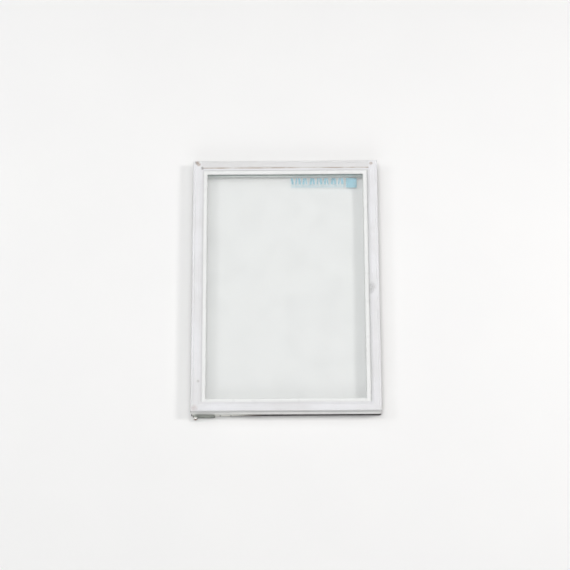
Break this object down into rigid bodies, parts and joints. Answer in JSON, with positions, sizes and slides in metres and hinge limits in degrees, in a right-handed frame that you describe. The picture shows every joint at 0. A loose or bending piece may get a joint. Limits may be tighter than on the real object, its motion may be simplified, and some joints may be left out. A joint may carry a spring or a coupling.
{
  "type": "glazed refrigerator door leaf",
  "caption": "Double-glazed cooler door leaf with a mitred magnetic gasket, white frame, dark front trim and a lower pivot hinge with a swinging bracket arm.",
  "frame": {"origin": "under the middle of the whole part, hinge included, on the plane that the front trim rests on", "axes": "+X across the door from the hinge side to the free side, +Y along the hinge side from the lower to the upper end, +Z out of the gasket side"},
  "size_m": [0.54, 0.809, 0.038],
  "materials": {
    "dark_trim": "satin dark brown",
    "white_frame": "white extruded plastic",
    "gasket_vinyl": "soft matt pale grey vinyl",
    "magnet_strip": "matt ferrite rubber",
    "white_bead": "satin white plastic",
    "spacer_metal": "satin",
    "key_plastic": "moulded grey plastic",
    "sealant": "matt black sealant",
    "foam_tape": "pale foam tape",
    "pane_glass": "clear float glass, faint green",
    "block_plastic": "moulded plastic",
    "plate_steel": "brushed stainless",
    "zinc_steel": "bright zinc plate",
    "nut_chrome": "polished plate",
    "bracket_steel": "grey zinc plate",
    "bush_plastic": "natural nylon",
    "label_film": "printed film with no lettering"
  },
  "bodies": {
    "door_leaf": {"trim_lower": "dark_trim", "trim_free": "dark_trim", "trim_upper": "dark_trim", "trim_hinge": "dark_trim", "frame_lower": "white_frame", "frame_free": "white_frame", "frame_upper": "white_frame", "frame_hinge": "white_frame", "gasket_lower": "gasket_vinyl", "gasket_free": "gasket_vinyl", "gasket_upper": "gasket_vinyl", "gasket_hinge": "gasket_vinyl", "magnet_lower": "magnet_strip", "magnet_free": "magnet_strip", "magnet_upper": "magnet_strip", "magnet_hinge": "magnet_strip", "bead_lower": "white_bead", "bead_free": "white_bead", "bead_upper": "white_bead", "bead_hinge": "white_bead", "spacer_lower": "spacer_metal", "spacer_free": "spacer_metal", "spacer_upper": "spacer_metal", "spacer_hinge": "spacer_metal", "spacer_keys": "key_plastic", "edge_sealant": "sealant", "glazing_tape": "foam_tape", "inner_pane": "pane_glass", "outer_pane": "pane_glass", "setting_blocks": "block_plastic", "corner_keys": "key_plastic", "pivot_corner_lower": "key_plastic", "pivot_corner_upper": "key_plastic", "hinge_plate": "plate_steel", "plate_screws": "zinc_steel", "pivot_pin": "zinc_steel", "washers": "zinc_steel", "cap_nut": "nut_chrome", "front_label": "label_film"},
    "bracket": {"hinge_bracket": "bracket_steel", "bracket_bush": "bush_plastic"}
  },
  "joints": [
    {"name": "bracket_swing", "type": "hinge", "parent": "door_leaf", "child": "bracket", "pos_m": [-0.256, -0.39435, 0.0086], "axis": [0, -1, 0], "range_deg": [0, 115]}
  ]
}
